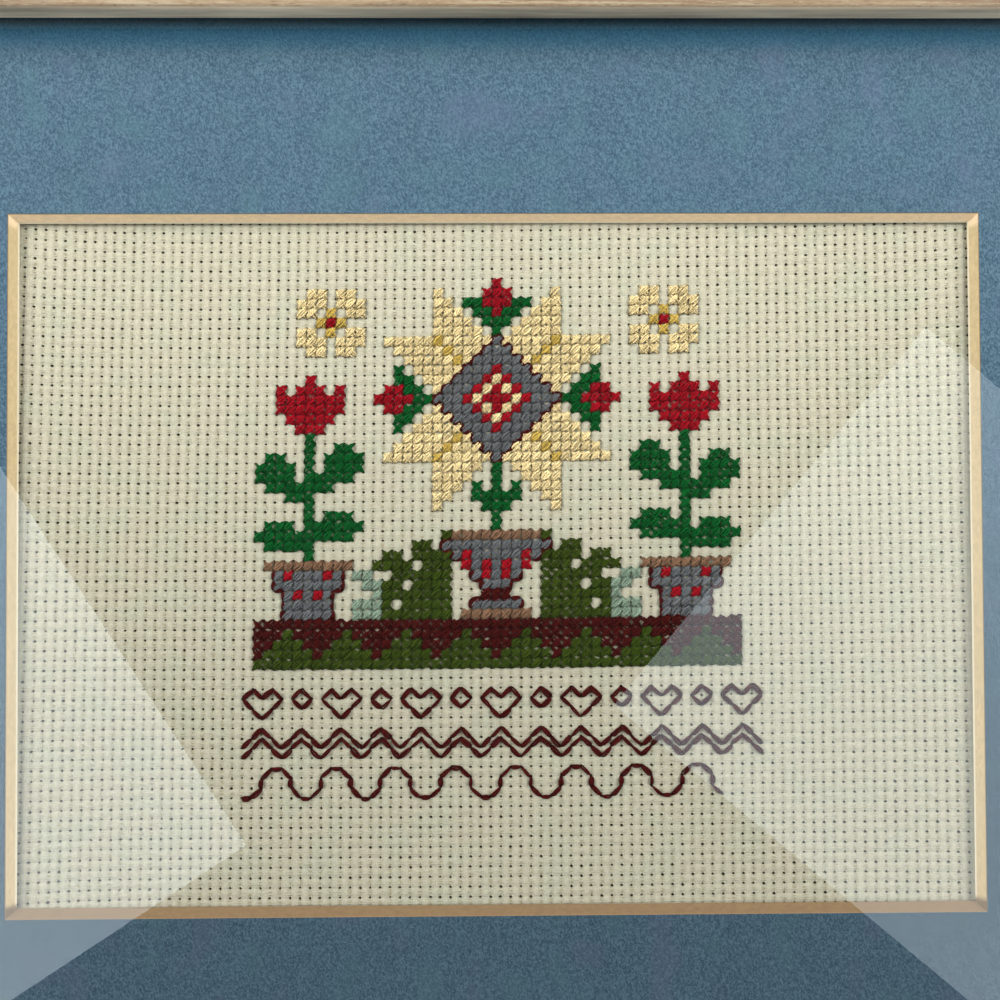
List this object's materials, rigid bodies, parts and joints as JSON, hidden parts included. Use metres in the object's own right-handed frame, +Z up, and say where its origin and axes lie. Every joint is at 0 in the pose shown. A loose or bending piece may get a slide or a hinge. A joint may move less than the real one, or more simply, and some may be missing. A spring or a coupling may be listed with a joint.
{
  "type": "framed cross stitch picture: stitched cloth under a window mat and glass, in a mitred wood frame",
  "caption": "Upright wood frame that holds glass, a bevelled window mat, a stitched block-weave cloth and a backing board, to hang on a wall.",
  "frame": {"origin": "middle of the top rail's back face, where the wall carries the picture", "axes": "+X along the width, +Y from the front into the wall, +Z up"},
  "size_m": [0.2916, 0.015, 0.2408],
  "materials": {
    "pickled_wood": "pale wash rubbed into open grain, satin",
    "picture_glass": "clear, polished",
    "mat_board": "mottled blue facing, tan core at the bevel",
    "stitched_cloth": "cream cotton block weave with coloured stranded cotton stitches",
    "backing_board": "plain brown fibre board"
  },
  "bodies": {
    "root": {"rail_top": "pickled_wood", "rail_right": "pickled_wood", "rail_bottom": "pickled_wood", "rail_left": "pickled_wood", "glass_pane": "picture_glass", "mat_board": "mat_board", "stitched_cloth": "stitched_cloth", "backing_board": "backing_board"}
  },
  "joints": []
}
